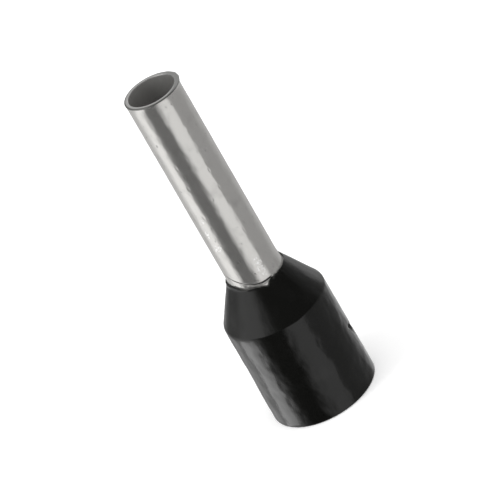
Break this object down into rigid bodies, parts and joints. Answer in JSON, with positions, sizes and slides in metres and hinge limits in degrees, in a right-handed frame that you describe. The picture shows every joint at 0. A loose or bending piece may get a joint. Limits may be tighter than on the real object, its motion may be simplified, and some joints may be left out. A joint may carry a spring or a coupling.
{
  "type": "wire ferrule",
  "caption": "Insulated wire ferrule: a tin-plated tubular pin, flared inside a black plastic collar with a round skirt and a conical neck.",
  "frame": {"origin": "centre of the collar's entry rim, the face that the ferrule stands on", "axes": "+Z along the common axis of collar and pin, from the entry rim to the pin's tip; the part is round about it apart from the collar's gate mark, which is 12 degrees from +X towards -Y"},
  "size_m": [0.004, 0.004, 0.014],
  "materials": {
    "tinned_copper": "satin tin plate on drawn copper, fine pits and draw lines",
    "black_plastic": "glossy moulded black plastic with a slightly wavy skin"
  },
  "bodies": {
    "root": {"contact_barrel": "tinned_copper", "insulating_collar": "black_plastic"}
  },
  "joints": []
}
